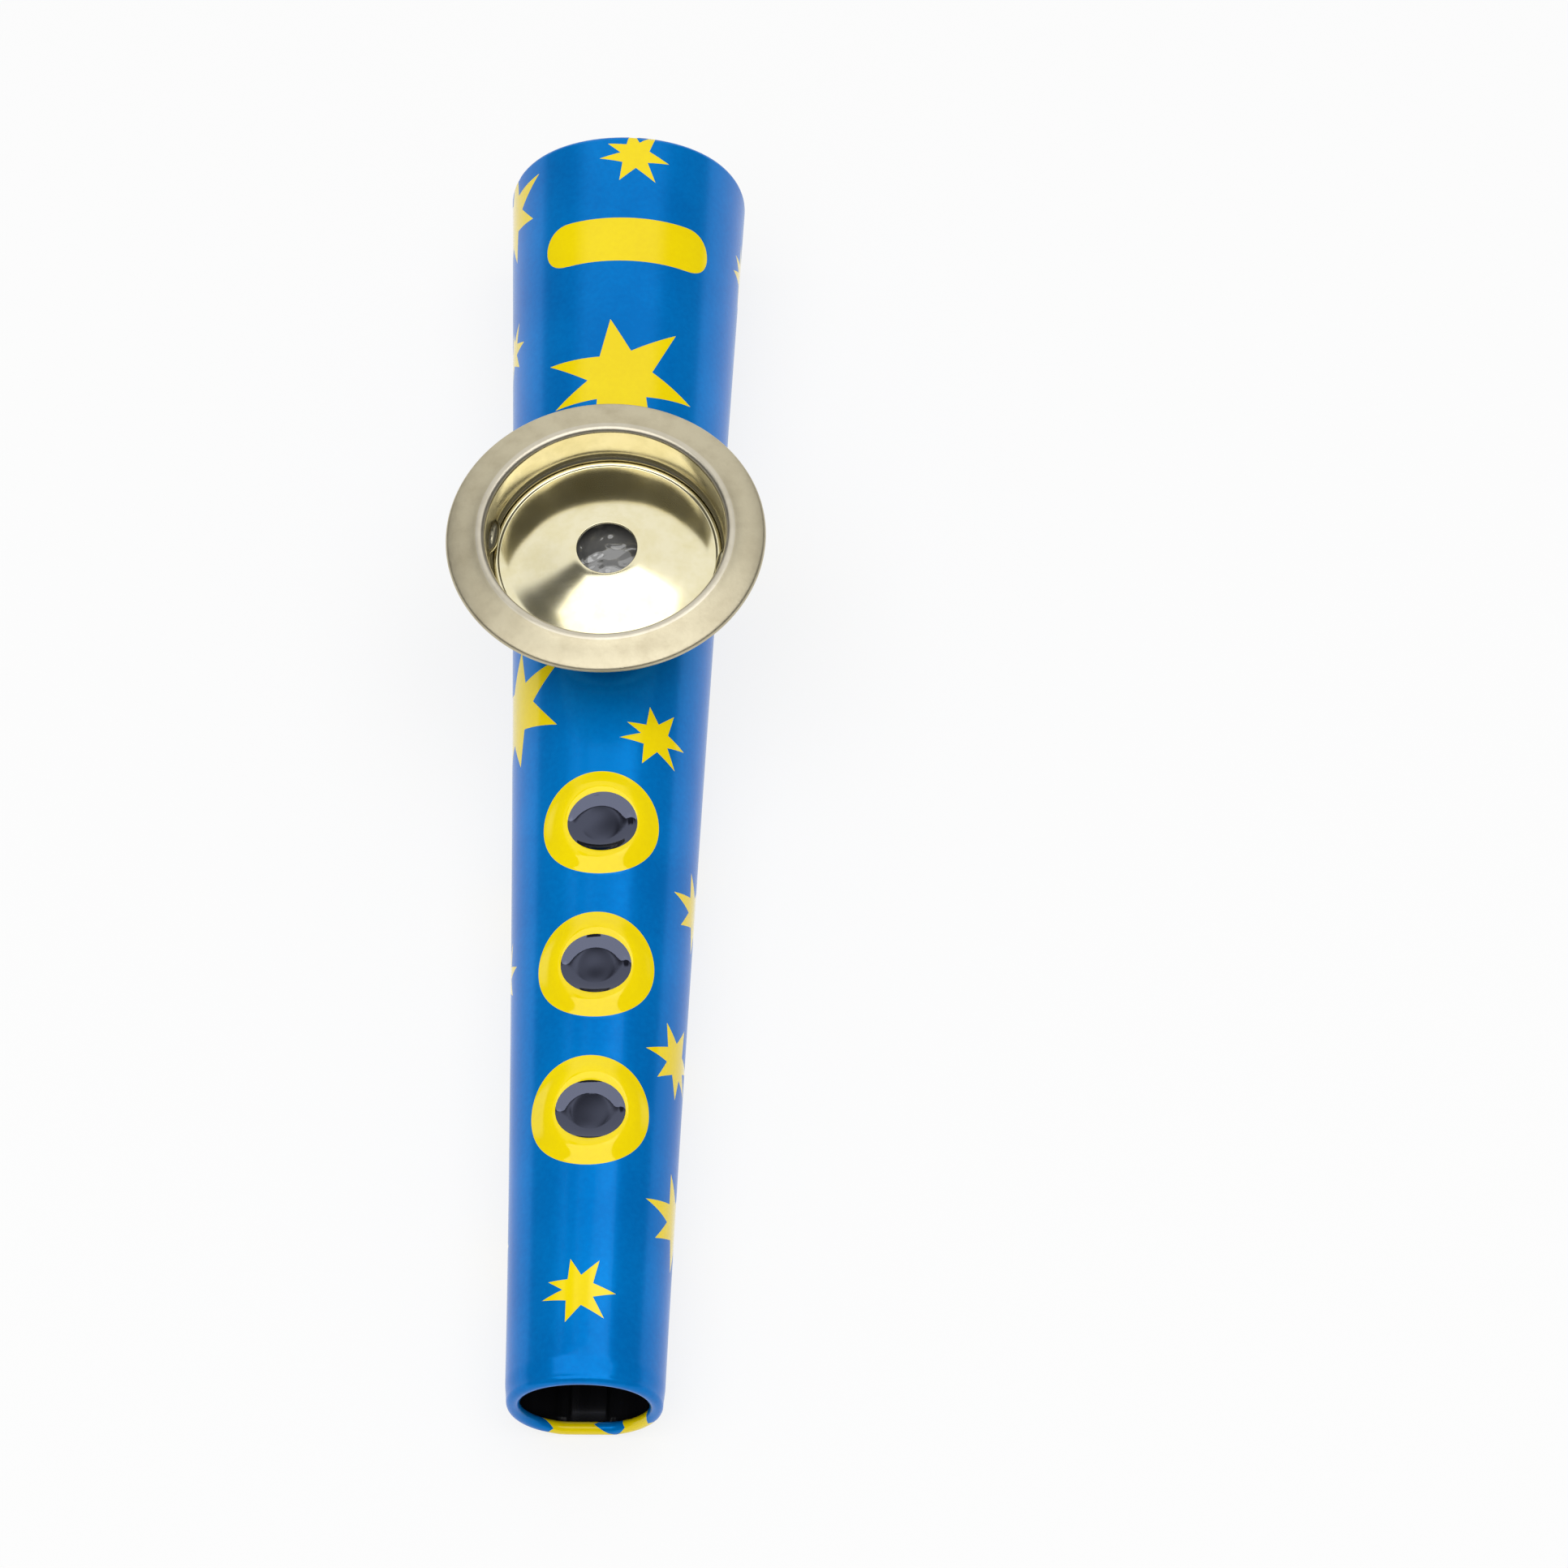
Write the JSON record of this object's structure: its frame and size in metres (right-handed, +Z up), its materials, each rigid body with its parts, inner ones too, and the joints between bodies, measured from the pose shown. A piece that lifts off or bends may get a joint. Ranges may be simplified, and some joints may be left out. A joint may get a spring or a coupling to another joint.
{
  "type": "kazoo",
  "caption": "Tinplate kazoo: tapered printed tube with blind finger dimples, flanged cup on top, and a membrane held under a domed disc with a sound hole.",
  "frame": {"origin": "on the supporting surface, below the middle of the tube's length and width", "axes": "+Z up, +Y along the tube towards the wide mouth end, +X to the right when the exit end faces the viewer"},
  "size_m": [0.0324, 0.14, 0.0268],
  "materials": {
    "printed_tinplate": "glossy blue and yellow lithographed enamel on tinplate",
    "satin_tinplate": "pale gold lacquered tinplate, satin",
    "bright_tinplate": "pale gold lacquered tinplate, polished",
    "fibre_gasket": "pressed fibre card",
    "membrane_film": "thin smoky plastic film"
  },
  "bodies": {
    "kazoo_body": {"body_tube": "printed_tinplate", "turret_cup": "satin_tinplate", "membrane_gasket": "fibre_gasket", "retaining_disc": "bright_tinplate"},
    "buzzing_film": {"membrane": "membrane_film"}
  },
  "joints": [
    {"name": "membrane_buzz", "type": "slide", "parent": "kazoo_body", "child": "buzzing_film", "axis": [0, 0, 1], "range_m": [-0.0002, 0.0002], "stiffness_N_per_m": 20}
  ]
}
